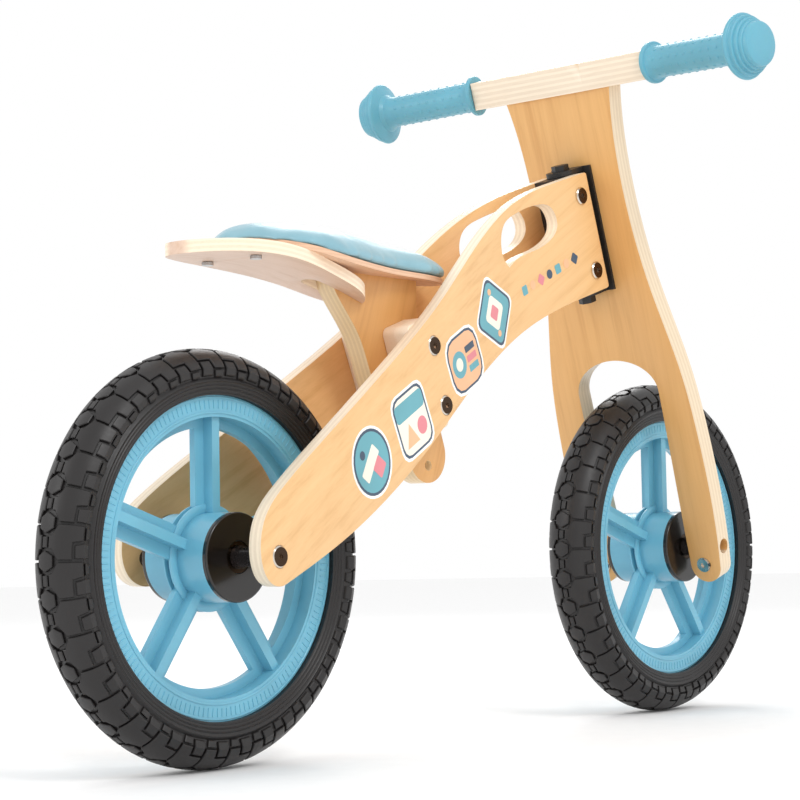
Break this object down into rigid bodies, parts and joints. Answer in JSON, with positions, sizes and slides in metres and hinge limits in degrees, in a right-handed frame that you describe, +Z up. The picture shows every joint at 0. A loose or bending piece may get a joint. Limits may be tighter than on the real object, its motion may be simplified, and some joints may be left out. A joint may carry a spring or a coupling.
{
  "type": "balance bike",
  "caption": "Child's wooden balance bike: two bent plywood side panels, plywood fork and bar, padded seat, foam-tyred spoked wheels; steering and both wheels turn.",
  "frame": {"origin": "on the ground, half way between the two axles, on the centre plane", "axes": "+X forward, +Y to the rider's left, +Z up"},
  "size_m": [0.854, 0.4196, 0.5707],
  "materials": {
    "panel_ply": "satin clear varnish over birch plywood",
    "fork_ply": "satin clear varnish over birch plywood",
    "post_ply": "satin clear varnish over birch plywood",
    "bar_ply": "satin clear varnish, plies showing on the cut faces",
    "board_ply": "pale birch plywood",
    "tray_ply": "thin plywood, unvarnished",
    "block_wood": "solid softwood, satin varnish",
    "pad_vinyl": "soft blue vinyl, semi-matte",
    "tyre_foam": "moulded foam, satin",
    "rim_plastic": "moulded light blue, semi-gloss",
    "cap_plastic": "black, glossy",
    "spacer_plastic": "black, glossy",
    "block_plastic": "black, moulded",
    "bush_brass": "turned",
    "grip_rubber": "moulded light blue, satin",
    "bolt_nickel": "bright nickel plate",
    "screw_steel": "zinc plate",
    "axle_steel": "turned",
    "bracket_steel": "black powder coat"
  },
  "bodies": {
    "frame": {"left_side_panel": "panel_ply", "right_side_panel": "panel_ply", "seat_post": "post_ply", "left_post_spacer": "block_wood", "right_post_spacer": "block_wood", "seat_board": "board_ply", "seat_pad_base": "tray_ply", "seat_pad": "pad_vinyl", "seat_screws": "screw_steel", "seat_post_bolts": "bolt_nickel", "seat_post_nuts": "bolt_nickel", "head_bolts": "bolt_nickel", "head_bolt_nuts": "bolt_nickel", "head_block": "block_plastic", "steering_bushes": "block_plastic", "rear_axle": "axle_steel", "rear_axle_spacers": "spacer_plastic", "rear_axle_bolts": "bolt_nickel"},
    "steering": {"fork": "fork_ply", "steering_bracket": "bracket_steel", "bracket_screws": "bracket_steel", "steering_pin": "bracket_steel", "steering_pin_nut": "bracket_steel", "leg_bolts": "bolt_nickel", "leg_bolt_nuts": "bolt_nickel", "handlebar": "bar_ply", "handlebar_screws": "screw_steel", "left_grip": "grip_rubber", "right_grip": "grip_rubber", "front_axle": "axle_steel", "front_axle_spacers": "spacer_plastic", "front_axle_bolts": "bolt_nickel"},
    "rear_wheel": {"rear_tyre": "tyre_foam", "rear_rim": "rim_plastic", "rear_hub_caps": "cap_plastic", "rear_wheel_bushes": "bush_brass"},
    "front_wheel": {"front_tyre": "tyre_foam", "front_rim": "rim_plastic", "front_hub_caps": "cap_plastic", "front_wheel_bushes": "bush_brass"}
  },
  "joints": [
    {"name": "steering_hinge", "type": "hinge", "parent": "frame", "child": "steering", "pos_m": [0.16658, 0, 0.4161], "axis": [-0.309, 0, 0.9511], "range_deg": [-20, 20]},
    {"name": "rear_wheel_spin", "type": "hinge", "parent": "frame", "child": "rear_wheel", "pos_m": [-0.282, 0, 0.145], "axis": [0, 1, 0], "continuous": true},
    {"name": "front_wheel_spin", "type": "hinge", "parent": "steering", "child": "front_wheel", "pos_m": [0.282, 0, 0.145], "axis": [0, 1, 0], "continuous": true}
  ]
}
